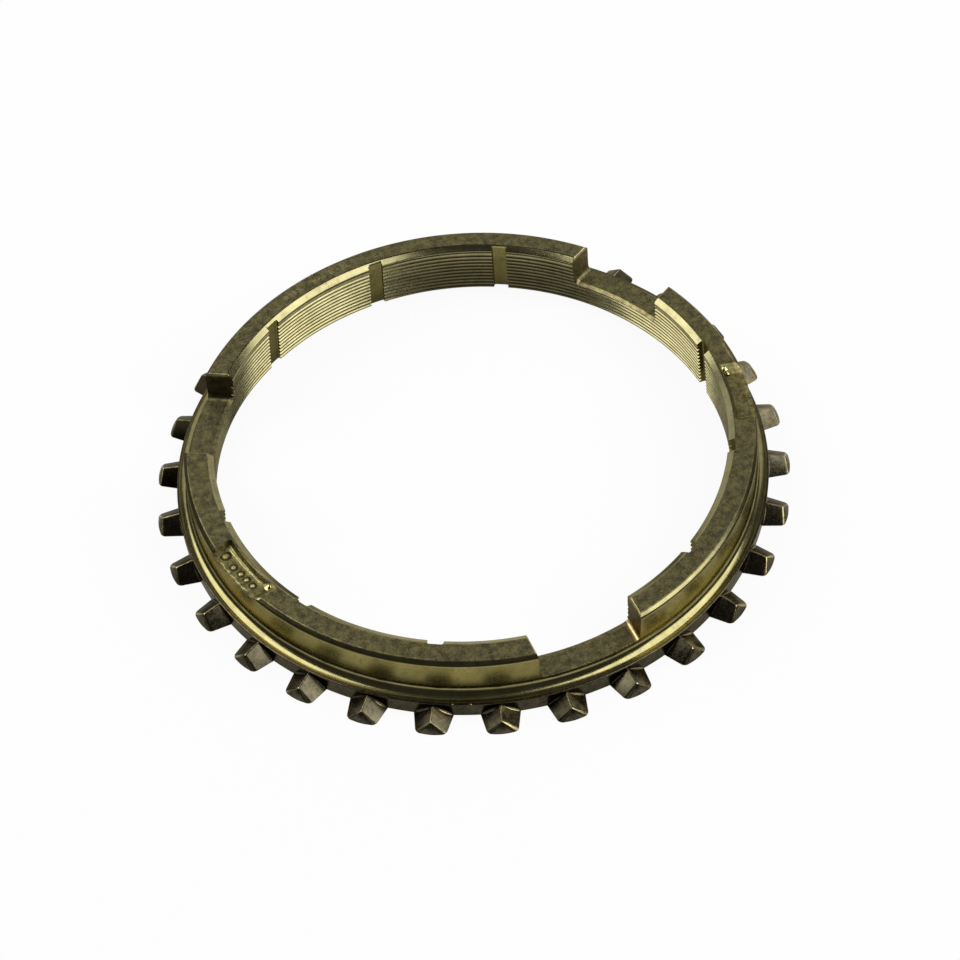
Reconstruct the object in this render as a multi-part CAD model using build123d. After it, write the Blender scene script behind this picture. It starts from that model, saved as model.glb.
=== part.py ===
from build123d import *
from math import cos, radians, sin, tan
import os

os.makedirs("parts", exist_ok=True)

# Synchronizer ring of a manual gearbox: forged in brass, then turned and grooved, in one piece.
# The gear side lies flat on Z = 0, the key slots open upward, and one key slot faces -Y.
# Lengths are in millimetres and angles in degrees.

# Ring
ring_height = 10.6

# Friction cone, which widens toward the gear side, and the plain chamfer at its mouth
cone_mouth_radius = 42.8
cone_half_angle = 5.5
mouth_chamfer_width = 1.0
mouth_chamfer_height = 0.7

# Collar: the flat top land, the bevel outside it and the turned wall
land_width = 3.1
bevel_width = 0.7
bevel_height = 0.85
collar_draft = 0.5

# Flange: the flute that runs down into it and the flat lip outside the flute
flange_height = 3.0
flute_radius = 1.44
lip_width = 0.71

# Blocking teeth
tooth_count = 30
tooth_reach = 3.8
tooth_root_width = 6.2
tooth_tip_width = 4.7
tooth_ridge_height = 2.4
tooth_ridge_fall = 7.0
tooth_roof_slope = 31.5
tooth_end_lean = 25.0
tooth_corner_radius = 1.0
tooth_edge_chamfer = 0.3

# Key slots
slot_count = 3
slot_width = 17.6
slot_depth = 5.8
slot_draft = 1.5
slot_corner_radius = 1.0
slot_rim_radius = 0.3
floor_edge_width = 0.7
floor_edge_height = 0.3

# Oil grooves down the cone, evenly pitched with the key slots and deeper on one side of the ring
grooves_between_slots = 3
groove_width = 2.6
groove_depth = 1.0
groove_runout = 0.42
groove_runout_angle = -60.0

# Two shallow pockets in the top face, open to the outside, either side of the front slot
pocket_angle = 75.0
pocket_width = 13.0
pocket_depth = 1.1
pocket_wall_thickness = 0.65
pocket_end_slope = 35.0

# Sizes that follow from the ones above
cone_slope = tan(radians(cone_half_angle))
chamfer_foot = ring_height - mouth_chamfer_height
cone_gear_radius = cone_mouth_radius + chamfer_foot * cone_slope
land_inner_radius = cone_mouth_radius + mouth_chamfer_width
land_outer_radius = land_inner_radius + land_width
collar_radius = land_outer_radius + bevel_width
bevel_foot = ring_height - bevel_height
flute_top = flange_height + flute_radius
collar_foot_radius = collar_radius + (bevel_foot - flute_top) * tan(radians(collar_draft))
lip_inner_radius = collar_foot_radius + flute_radius
flange_radius = lip_inner_radius + lip_width
tooth_tip_radius = flange_radius + tooth_reach
slot_floor = ring_height - slot_depth
front = -90.0


def ring_body():
    """Ring without teeth or cuts: one section turned about the axis."""
    flute_bend = flute_radius * sin(radians(45))
    with BuildPart() as body:
        with BuildSketch(Plane.XZ):
            with BuildLine():
                Polyline(
                    (cone_gear_radius, 0),
                    (flange_radius, 0),
                    (flange_radius, flange_height),
                    (lip_inner_radius, flange_height),
                )
                ThreePointArc(
                    (lip_inner_radius, flange_height),
                    (lip_inner_radius - flute_bend, flute_top - flute_bend),
                    (collar_foot_radius, flute_top),
                )
                Polyline(
                    (collar_foot_radius, flute_top),
                    (collar_radius, bevel_foot),
                    (land_outer_radius, ring_height),
                    (land_inner_radius, ring_height),
                    (cone_mouth_radius, chamfer_foot),
                    (cone_gear_radius, 0),
                )
            make_face()
        revolve(axis=Axis.Z)
    return body.part


def tooth():
    """One blocking tooth on +X: a tapered plan with a leaning end, under a roof that falls outward."""
    taper = (tooth_root_width - tooth_tip_width) / 2 / tooth_reach
    embed = tooth_reach / 2
    foot = flange_radius - embed
    foot_half = tooth_root_width / 2 + taper * embed
    tip_half = tooth_tip_width / 2
    fall = radians(tooth_ridge_fall)
    lean = radians(tooth_end_lean)
    end_face = Plane(origin=(tooth_tip_radius, 0, 0), z_dir=(cos(lean), 0, sin(lean)))
    with BuildPart() as plan:
        with BuildSketch():
            with BuildLine():
                Polyline(
                    (foot, -foot_half),
                    (tooth_tip_radius, -tip_half),
                    (tooth_tip_radius, tip_half),
                    (foot, foot_half),
                    close=True,
                )
            make_face()
        extrude(amount=2 * tooth_ridge_height)
        split(bisect_by=end_face, keep=Keep.BOTTOM)
        outer_corners = [edge for edge in plan.edges() if is_upright(edge) and edge.center().X > flange_radius]
        fillet(outer_corners, tooth_corner_radius)
    ridge_line = Plane(
        origin=(flange_radius, 0, tooth_ridge_height),
        x_dir=(0, 1, 0),
        z_dir=(cos(fall), 0, -sin(fall)),
    )
    eave_drop = foot_half * tan(radians(tooth_roof_slope))
    with BuildPart() as roof:
        with BuildSketch(ridge_line):
            with BuildLine():
                Polyline(
                    (0, 0),
                    (foot_half, -eave_drop),
                    (foot_half, -2 * tooth_ridge_height),
                    (-foot_half, -2 * tooth_ridge_height),
                    (-foot_half, -eave_drop),
                    close=True,
                )
            make_face()
        extrude(amount=2 * tooth_reach, both=True)
    blank = plan.part & roof.part
    worn = [
        edge
        for edge in blank.edges()
        if edge.center().X > foot + embed / 4
        and edge.center().Z > tooth_edge_chamfer / 4
        and not is_upright(edge)
    ]
    return chamfer(worn, tooth_edge_chamfer)


def is_upright(edge):
    """True for an edge that rises along a tooth's side or leaning end."""
    run = edge.position_at(1) - edge.position_at(0)
    return abs(run.Z) > 0.8 * run.length


def slot_cutter():
    """Key slot toward +X: drafted walls, rounded floor corners and rounded top rims."""
    half = slot_width / 2
    floor_half = half - slot_depth * tan(radians(slot_draft))
    shoulder = half + 2 * slot_rim_radius
    top = ring_height + slot_depth
    with BuildPart() as cutter:
        with BuildSketch(Plane.YZ):
            with BuildLine():
                Polyline(
                    (floor_half, slot_floor),
                    (half, ring_height),
                    (shoulder, ring_height),
                    (shoulder, top),
                    (-shoulder, top),
                    (-shoulder, ring_height),
                    (-half, ring_height),
                    (-floor_half, slot_floor),
                    close=True,
                )
            section = make_face()
            middle = ring_height - slot_depth / 2
            inner = [v for v in section.vertices() if abs(v.X) < shoulder - slot_rim_radius]
            fillet([v for v in inner if v.Y < middle], slot_corner_radius)
            fillet([v for v in inner if v.Y > middle], slot_rim_radius)
        extrude(amount=flange_radius)
    return cutter.part


def floor_edge_cutter(slot):
    """Bevel along the inner edge of a key slot's floor."""
    edge_radius = cone_gear_radius - slot_floor * cone_slope
    with BuildPart() as cutter:
        with BuildSketch(Plane.XZ):
            with BuildLine():
                Polyline(
                    (edge_radius + floor_edge_width, slot_floor),
                    (edge_radius + floor_edge_width, ring_height),
                    (edge_radius - floor_edge_width, ring_height),
                    (edge_radius - floor_edge_width, slot_floor - 2 * floor_edge_height),
                    close=True,
                )
            make_face()
        revolve(axis=Axis.Z)
    return cutter.part & (Pos(0, 0, -floor_edge_height) * slot)


def groove_cutter():
    """Oil groove toward +X, with its floor parallel to the cone."""
    top = 2 * ring_height
    floor_radius = cone_gear_radius + groove_depth
    with BuildPart() as cutter:
        with BuildSketch(Plane.XZ):
            with BuildLine():
                Polyline(
                    (floor_radius + ring_height * cone_slope, -ring_height),
                    (floor_radius - top * cone_slope, top),
                    (cone_mouth_radius / 2, top),
                    (cone_mouth_radius / 2, -ring_height),
                    close=True,
                )
            make_face()
        extrude(amount=groove_width / 2, both=True)
    return cutter.part


def pocket_cutter():
    """Shallow pocket toward +X: a round inner wall and two sloping ends."""
    half = pocket_width / 2
    rise = 2 * pocket_depth
    spread = rise / tan(radians(pocket_end_slope))
    floor = ring_height - pocket_depth
    floor_half = half - pocket_depth / tan(radians(pocket_end_slope))
    with BuildPart() as cutter:
        with BuildSketch(Plane.YZ):
            with BuildLine():
                Polyline(
                    (floor_half, floor),
                    (floor_half + spread, floor + rise),
                    (-floor_half - spread, floor + rise),
                    (-floor_half, floor),
                    close=True,
                )
            make_face()
        extrude(amount=flange_radius)
        Cylinder(
            land_inner_radius + pocket_wall_thickness,
            2 * ring_height,
            align=(Align.CENTER, Align.CENTER, Align.MIN),
            mode=Mode.SUBTRACT,
        )
    return cutter.part


def turned(shape, angle):
    """The shape turned about the ring's axis."""
    return Rot(0, 0, angle) * shape


def synchronizer_ring():
    """The whole ring: body, teeth, key slots, oil grooves and pockets."""
    tooth_pitch = 360 / tooth_count
    one_tooth = tooth()
    teeth = [turned(one_tooth, front + (k + 0.5) * tooth_pitch) for k in range(tooth_count)]
    groove_pitch = 360 / slot_count / (grooves_between_slots + 1)
    one_slot = slot_cutter()
    one_floor_edge = floor_edge_cutter(one_slot)
    one_groove = groove_cutter()
    one_pocket = pocket_cutter()
    cuts = [turned(one_pocket, front + side * pocket_angle) for side in (-1, 1)]
    for slot in range(slot_count):
        slot_angle = front + slot * 360 / slot_count
        cuts.append(turned(one_slot, slot_angle))
        cuts.append(turned(one_floor_edge, slot_angle))
        for groove in range(grooves_between_slots):
            groove_angle = slot_angle + (groove + 1) * groove_pitch
            deeper = groove_runout * cos(radians(groove_angle - groove_runout_angle))
            cuts.append(turned(Pos(deeper, 0, 0) * one_groove, groove_angle))
    return ring_body().fuse(*teeth).cut(*cuts)


export_step(synchronizer_ring(), "parts/synchronizer_ring.step")
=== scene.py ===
"""Looks of a forged brass synchronizer ring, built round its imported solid.

Lengths are written in millimetres and angles in degrees, and become metres and radians where a mesh is made.
"""

import math

import bpy
import numpy as np
from mathutils import Matrix


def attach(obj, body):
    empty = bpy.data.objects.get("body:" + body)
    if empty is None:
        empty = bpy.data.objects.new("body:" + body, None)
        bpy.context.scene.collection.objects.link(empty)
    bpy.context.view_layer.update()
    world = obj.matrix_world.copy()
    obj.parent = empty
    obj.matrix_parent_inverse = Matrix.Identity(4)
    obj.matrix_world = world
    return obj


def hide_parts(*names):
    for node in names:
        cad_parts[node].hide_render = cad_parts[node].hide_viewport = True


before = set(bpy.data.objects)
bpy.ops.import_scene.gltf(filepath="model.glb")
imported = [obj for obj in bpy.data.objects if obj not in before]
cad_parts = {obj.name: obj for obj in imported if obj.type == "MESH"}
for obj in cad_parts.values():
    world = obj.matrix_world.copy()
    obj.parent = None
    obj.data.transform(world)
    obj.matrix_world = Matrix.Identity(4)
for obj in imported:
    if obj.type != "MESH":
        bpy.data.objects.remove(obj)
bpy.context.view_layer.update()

MM = 0.001

# Section of the ring, as in the solid apart from a wider flute
RING_HEIGHT = 10.6
CONE_SLOPE = math.tan(math.radians(5.5))
MOUTH_RADIUS = 42.8
MOUTH_FOOT = 9.9
CONE_GEAR_RADIUS = MOUTH_RADIUS + MOUTH_FOOT * CONE_SLOPE
LAND_INNER = 43.8
LAND_OUTER = 46.9
BEVEL_TURN = (47.575, 9.97)
COLLAR_RADIUS = 47.6
BEVEL_FOOT = 9.75
FLUTE_RADIUS = 1.62
FLUTE_TOP = 4.61
COLLAR_FOOT_RADIUS = COLLAR_RADIUS + (BEVEL_FOOT - FLUTE_TOP) * math.tan(math.radians(0.5))
LIP_INNER = 49.09
FLANGE_HEIGHT = 3.0
FLANGE_RADIUS = 49.80

# Thread on the cone: its lowest valley, its pitch and count of turns, and two uneven valleys at the mouth
THREAD_START = 0.67
THREAD_PITCH = 0.874
THREAD_TURNS = 9
THREAD_LAST = (8.62, 9.52)

# The radius at which angles round the ring are reckoned, and the height of a column that nothing cuts
MID_RADIUS = 46.0
UNCUT = RING_HEIGHT + 1.0

# Cuts in the ring. The front slot's left wall stands inward, and the left pocket's left end is steeper
SLOT_ANGLES = (-90.0, 30.0, 150.0)
SLOT_HALF = 8.8
SLOT_FLOOR = 4.8
SLOT_FLOOR_HALF = 8.65
SLOT_CORNER = 1.0
SLOT_RIM = 0.3
FRONT_WALL_INWARD = 0.3
FLOOR_EDGE_DROP = 0.3
FLOOR_EDGE_RADIUS = 44.0
GROOVE_ANGLES = (-150.0, -120.0, -60.0, -30.0, 0.0, 60.0, 90.0, 120.0, 180.0)
GROOVE_HALF = 1.27
GROOVE_DEPTH = 1.0
GROOVE_RUNOUT = 0.42
GROOVE_RUNOUT_ANGLE = -60.0
POCKET_ANGLES = (-165.0, -15.0)
POCKET_HALF = 6.5
POCKET_DEPTH = 1.1
POCKET_WALL = 44.45
POCKET_RIM = 43.98
POCKET_WALL_RUN = 0.58
POCKET_END_SLOPE = math.tan(math.radians(35))
POCKET_STEEP_RUN = 0.4

# Where the bore is a little out of round: middle, half span and depth
BORE_FLATS = ((177.0, 46.0, 0.28), (316.0, 30.0, 0.15))

# Short radial nicks in the top land
NICK_ANGLES = (95.8, 96.9, 98.1, 99.9, 101.7, 103.1, 104.3, 108.6, 109.8, 111.0, 112.2)
NICK_DEPTH = 0.10
NICK_SPAN = (44.5, 46.5)

# Places on the ring, each a middle angle and a half span: the top land's outer and inner edges, rubbed
# bright, which fade over RUB_FADE degrees, the front slot's right wall, which is stained, the left slot's
# far wall and the left end of the left pocket, darkened with painted shade, and the inner edge of the right
# slot's floor, rubbed bright
RUBBED_OUTER = ((201.5, 40.5), (356.0, 6.5))
RUBBED_INNER = (357.5, 6.0)
RUB_FADE = 4.0
STAINED_WALL = (281.0, 2.6)
SHADED_SLOT_WALL = (139.3, 2.6)
SHADED_POCKET_END = (187.4, 1.4)
RUBBED_FLOOR_EDGE = (30.0, 12.0)

# Teeth
TOOTH_ANGLES = np.arange(30) * 12.0
TOOTH_TIP = FLANGE_RADIUS + 3.79
TOOTH_ROOT_HALF = 3.1
TOOTH_TIP_HALF = 2.35
TOOTH_RIDGE = 2.4
TOOTH_RIDGE_FALL = math.tan(math.radians(7))
TOOTH_ROOF = math.tan(math.radians(34))
TOOTH_END_LEAN = math.tan(math.radians(25))
TOOTH_CORNER = 1.0
TOOTH_END_BULGE = 0.15
TOOTH_EDGE = 0.42
TOOTH_FOOT_EDGE = 0.10

# Teeth darkened all over with painted shade, teeth with painted shade on the side of smaller angles and
# teeth with a painted highlight on the side of larger ones, each a middle angle, a half span and an amount
SHADED_TEETH = ((144.0, 14.0, 6.4), (174.0, 8.0, 2.5))
SHADED_TOOTH_SIDES = ((264.0, 1.0, 4.6), (246.0, 8.0, 3.0))
LIT_TOOTH_SIDES = ((279.0, 28.0, 0.45),)

# Surface kinds of the ring's faces, in the order of its material slots
TUMBLED, TURNED, THREAD, SCALE, LIP, COLLAR, STAINED, CAST = range(8)

# Part numbers in the ring's section: the collar's top corner, the land's outer corner, the land, the land's
# inner corner and the thread
COLLAR_EDGE_SIDE = 7
LAND_EDGE_SIDE = 10
LAND_SIDE = 11
INNER_SIDE = 12
THREAD_SIDE = 15


def smooth(t):
    """The S curve 3t^2 - 2t^3 on t held between 0 and 1."""
    t = np.clip(t, 0.0, 1.0)
    return t * t * (3.0 - 2.0 * t)


def near(turn, middle, half_span):
    """1 round an angle, fading to 0 over the last degrees of the half span."""
    return smooth((half_span - off_angle(turn, middle)) / RUB_FADE)


def off_angle(turn, middle):
    """How many degrees angles lie from a middle one, the shorter way round."""
    return np.abs((turn - middle + 180.0) % 360.0 - 180.0)


def within(turn, place):
    """True at angles less than the half span from the middle of a place (middle, half span)."""
    return off_angle(turn, place[0]) < place[1]


def amount_at(turn, places):
    """At each angle the amount of the place that it lies in, each place (middle, half span, amount)."""
    return sum(place[2] * within(turn, place) for place in places)


def mesh_piece(name, points, faces, materials, kinds=None, attributes=None, sharp=40.0):
    """One object from points in millimetres, faces as index rows, and per-point attributes."""
    mesh = bpy.data.meshes.new(name)
    faces = faces.tolist() if isinstance(faces, np.ndarray) else faces
    mesh.from_pydata((np.asarray(points) * MM).tolist(), [], faces)
    for material in materials:
        mesh.materials.append(material)
    if kinds is not None:
        mesh.polygons.foreach_set("material_index", np.asarray(kinds, dtype=np.int32))
    for key, values in (attributes or {}).items():
        layer = mesh.attributes.new(key, "FLOAT", "POINT")
        layer.data.foreach_set("value", np.asarray(values, dtype=np.float32).ravel())
    mesh.polygons.foreach_set("use_smooth", np.ones(len(mesh.polygons), dtype=bool))
    mesh.update()
    if sharp < 180.0:
        mesh.set_sharp_from_angle(angle=math.radians(sharp))
    piece = bpy.data.objects.new(name, mesh)
    bpy.context.scene.collection.objects.link(piece)
    return piece


def corner(before, at, after, size, steps):
    """A rounded corner: the quadratic curve from a point `size` before it to one `size` after it."""
    before, at, after = (np.array(p, dtype=float) for p in (before, at, after))
    start = at + (before - at) / np.linalg.norm(before - at) * size
    end = at + (after - at) / np.linalg.norm(after - at) * size
    s = np.linspace(0.0, 1.0, steps)[:, None]
    return (1 - s) ** 2 * start + 2 * s * (1 - s) * at + s**2 * end


def thread_rows():
    """The thread down the cone, from its mouth to the gear face.

    Each turn is a valley with a broad flank facing up and a steep one facing down: offsets from the cone's
    line are 0 on the narrow crests and the thread's depth in the valleys, halved in the one at the mouth.
    Each valley also carries painted shade, halved in the same way.
    """
    even = THREAD_START + THREAD_PITCH * np.arange(THREAD_TURNS)
    valleys = np.concatenate([even, THREAD_LAST])[::-1]
    deep = np.ones(len(valleys))
    deep[0] = 0.5
    drop = np.array([0.14, 0.03, -0.03, -0.40, -0.60])
    sink = np.array([0.02, 0.52, 0.52, 0.05, 0.0])
    # Painted shade on the rows at the bottom of each valley
    mark = np.array([0.0, 0.4, 0.4, 0.0, 0.0])
    z = (valleys[:, None] + drop).ravel()
    out = (deep[:, None] * sink).ravel()
    valley = (deep[:, None] * mark).ravel()
    keep = z > 0.12
    z, out, valley = z[keep], out[keep], valley[keep]
    r = CONE_GEAR_RADIUS - z * CONE_SLOPE + out
    return np.stack([r, z], -1), valley


def ring_section():
    """The ring's closed section as rows (r, z), each with its kind, worn-edge amount, part number and
    painted shade.
    """
    gear_in = (CONE_GEAR_RADIUS, 0.0)
    gear_out = (FLANGE_RADIUS, 0.0)
    flange_top = (FLANGE_RADIUS, FLANGE_HEIGHT)
    collar_top = (COLLAR_RADIUS, BEVEL_FOOT)
    land_out = (LAND_OUTER, RING_HEIGHT)
    land_in = (LAND_INNER, RING_HEIGHT)
    mouth = (MOUTH_RADIUS, MOUTH_FOOT)
    collar_foot = (COLLAR_FOOT_RADIUS, FLUTE_TOP)
    flute_turn = np.radians(np.linspace(6.2, 88, 13))
    flute = np.stack([COLLAR_FOOT_RADIUS + FLUTE_RADIUS * (1 - np.sin(flute_turn)),
                      FLUTE_TOP - FLUTE_RADIUS * np.cos(flute_turn)], -1)
    gear_face_r = np.linspace(CONE_GEAR_RADIUS + 0.3, FLANGE_RADIUS - 0.6, 4)
    gear_face = np.stack([gear_face_r, np.zeros(4)], -1)
    flange_side = np.stack([np.full(3, FLANGE_RADIUS), np.linspace(0.5, FLANGE_HEIGHT - 0.5, 3)], -1)
    lip = np.stack([np.linspace(FLANGE_RADIUS - 0.3, LIP_INNER + 0.1, 2), np.full(2, FLANGE_HEIGHT)], -1)
    climb = np.linspace(0.04, 0.94, 9)[:, None]
    collar = np.array(collar_foot) * (1 - climb) + np.array(collar_top) * climb
    bevel_run = np.linspace(0.45, 0.8, 2)[:, None]
    bevel = np.array(BEVEL_TURN) * (1 - bevel_run) + np.array(land_out) * bevel_run
    land_r = np.concatenate([np.linspace(LAND_OUTER - 0.25, POCKET_WALL + 0.12, 6),
                             [POCKET_WALL + 0.02, POCKET_WALL - 0.02], [44.2, LAND_INNER + 0.16]])
    land = np.stack([land_r, np.full(len(land_r), RING_HEIGHT)], -1)
    mouth_run = np.linspace(0.2, 0.85, 3)[:, None]
    chamfer = np.array(land_in) * (1 - mouth_run) + np.array(mouth) * mouth_run
    thread, thread_valley = thread_rows()
    parts = [
        (gear_face, TUMBLED, 0.0),
        (corner(gear_in, gear_out, flange_top, 0.25, 4), SCALE, 0.2),
        (flange_side, SCALE, 0.0),
        (corner(gear_out, flange_top, (LIP_INNER, FLANGE_HEIGHT), 0.24, 5), SCALE, 0.0),
        (lip, LIP, 0.0),
        (flute, TURNED, 0.0),
        (collar, COLLAR, 0.0),
        (corner(collar_foot, collar_top, BEVEL_TURN, 0.12, 3), COLLAR, 0.0),
        (corner(collar_top, BEVEL_TURN, land_out, 0.20, 4), TURNED, 0.0),
        (bevel, THREAD, 0.0),
        (corner(BEVEL_TURN, land_out, land_in, 0.06, 5), TUMBLED, np.array([0.0, 0.4, 0.8, 0.3, 0.0])),
        (land, TUMBLED, 0.0),
        (corner(land_out, land_in, mouth, 0.10, 3), THREAD, 0.2),
        (chamfer, THREAD, 0.0),
        (corner(land_in, mouth, gear_in, 0.06, 3), THREAD, 0.0),
        (thread, THREAD, 0.0),
        (corner(mouth, gear_in, gear_out, 0.12, 4), THREAD, 0.0),
    ]
    rows = np.concatenate([p[0] for p in parts])
    kind = np.concatenate([np.full(len(p[0]), p[1]) for p in parts])
    wear_and_highlight = np.concatenate([np.zeros(len(p[0])) + p[2] for p in parts])
    side = np.concatenate([np.full(len(p[0]), i) for i, p in enumerate(parts)])
    valley = np.zeros(len(rows))
    valley[side == THREAD_SIDE] = thread_valley
    return rows[:, 0], rows[:, 1], kind, wear_and_highlight, side, valley


def slot_offsets():
    """Column offsets across a key slot, and the height to which each column is cut."""
    floor = np.linspace(0.0, SLOT_FLOOR_HALF - SLOT_CORNER, 10)
    turn = np.radians(np.linspace(10, 88, 8))
    bend = SLOT_FLOOR_HALF + 0.02 - SLOT_CORNER * (1 - np.sin(turn))
    bend_z = SLOT_FLOOR + SLOT_CORNER * (1 - np.cos(turn))
    wall_foot, wall_top = SLOT_FLOOR + SLOT_CORNER, RING_HEIGHT - SLOT_RIM
    wall_z = np.linspace(wall_foot + 0.4, wall_top, 7)
    wall_share = (wall_z - wall_foot) / (wall_top - wall_foot)
    wall = SLOT_FLOOR_HALF + 0.03 + (SLOT_HALF - SLOT_FLOOR_HALF - 0.03) * wall_share
    rim_turn = np.radians(np.linspace(15, 90, 5))
    rim = SLOT_HALF + SLOT_RIM * (1 - np.cos(rim_turn))
    rim_z = RING_HEIGHT - SLOT_RIM * (1 - np.sin(rim_turn))
    half = np.concatenate([floor, bend, wall, rim, [SLOT_HALF + 0.7]])
    cut = np.concatenate([np.full(10, SLOT_FLOOR), bend_z, wall_z, rim_z, [UNCUT]])
    cut[-2] = UNCUT
    return np.concatenate([-half[:0:-1], half]), np.concatenate([cut[:0:-1], cut])


def groove_offsets():
    """Column offsets across an oil groove, and the share of its depth at each column."""
    half = np.array([0.0, 0.45, 0.9, 1.08, 1.18, 1.24, GROOVE_HALF, 1.30, 1.45])
    share = np.array([1.0, 1.0, 1.0, 0.98, 0.93, 0.85, 0.70, 0.0, 0.0])
    return np.concatenate([-half[:0:-1], half]), np.concatenate([share[:0:-1], share])


def pocket_offsets():
    """Column offsets across a pocket, and its depth at each column: flat, with two sloping ends."""
    floor_half = POCKET_HALF - POCKET_DEPTH / POCKET_END_SLOPE
    inside = np.linspace(0.0, floor_half - 0.15, 8)
    ends = np.array([floor_half - 0.05, floor_half + 0.1, floor_half + 0.6, POCKET_HALF - 0.45,
                     POCKET_HALF - 0.1, POCKET_HALF + 0.05, POCKET_HALF + 0.3])
    half = np.concatenate([inside, ends])
    depth = np.clip((POCKET_HALF - half) * POCKET_END_SLOPE, 0.0, POCKET_DEPTH)
    return np.concatenate([-half[:0:-1], half]), np.concatenate([depth[:0:-1], depth])


def ring_columns():
    """Columns round the ring, each (angle, sideways offset, slot, groove, pocket, nick).

    Across a cut the columns run parallel to it; between cuts the offset fades from one to the next.
    """
    cuts = [(a, "slot") for a in SLOT_ANGLES] + [(a, "groove") for a in GROOVE_ANGLES]
    cuts += [(a, "pocket") for a in POCKET_ANGLES] + [(a, "nick") for a in NICK_ANGLES]
    cuts.sort()
    columns = []
    for angle, what in cuts:
        slot, groove, pocket, nick = UNCUT, 0.0, 0.0, 0.0
        if what == "slot":
            offset, slot = slot_offsets()
            inward = (offset < -0.8 * SLOT_FLOOR_HALF) & (angle == SLOT_ANGLES[0])
            offset = offset + np.where(inward, FRONT_WALL_INWARD, 0.0)
        elif what == "groove":
            offset, groove = groove_offsets()
            away = math.radians(GROOVE_RUNOUT_ANGLE - angle)
            groove = groove * (GROOVE_DEPTH + GROOVE_RUNOUT * math.cos(away))
        elif what == "nick":
            offset = np.array([-0.22, -0.12, -0.05, 0.05, 0.12, 0.22])
            nick = np.array([0.0, -0.7, -1.0, 0.8, 0.6, 0.0])
        else:
            offset, pocket = pocket_offsets()
            steep = (offset < 0) & (pocket < POCKET_DEPTH) & (angle == POCKET_ANGLES[0])
            offset = np.where(steep, -POCKET_HALF + POCKET_STEEP_RUN * (offset + POCKET_HALF), offset)
        columns.append(np.stack(np.broadcast_arrays(angle, offset, slot, groove, pocket, nick), -1))
    joined = []
    for here, after in zip(columns, columns[1:] + columns[:1]):
        joined.append(here)
        from_offset, to_offset = here[-1, 1], after[0, 1]
        start = here[-1, 0] + math.degrees(math.asin(from_offset / MID_RADIUS))
        end = after[0, 0] + math.degrees(math.asin(to_offset / MID_RADIUS))
        end += 360.0 if end < start else 0.0
        count = max(2, int(math.ceil((end - start) / 0.8)))
        f = np.arange(1, count) / count
        offset = from_offset * (1 - f) + to_offset * f
        angle = start + (end - start) * f - np.degrees(np.arcsin(offset / MID_RADIUS))
        joined.append(np.stack(np.broadcast_arrays(angle, offset, UNCUT, 0.0, 0.0, 0.0), -1))
    return np.concatenate(joined)


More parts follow.
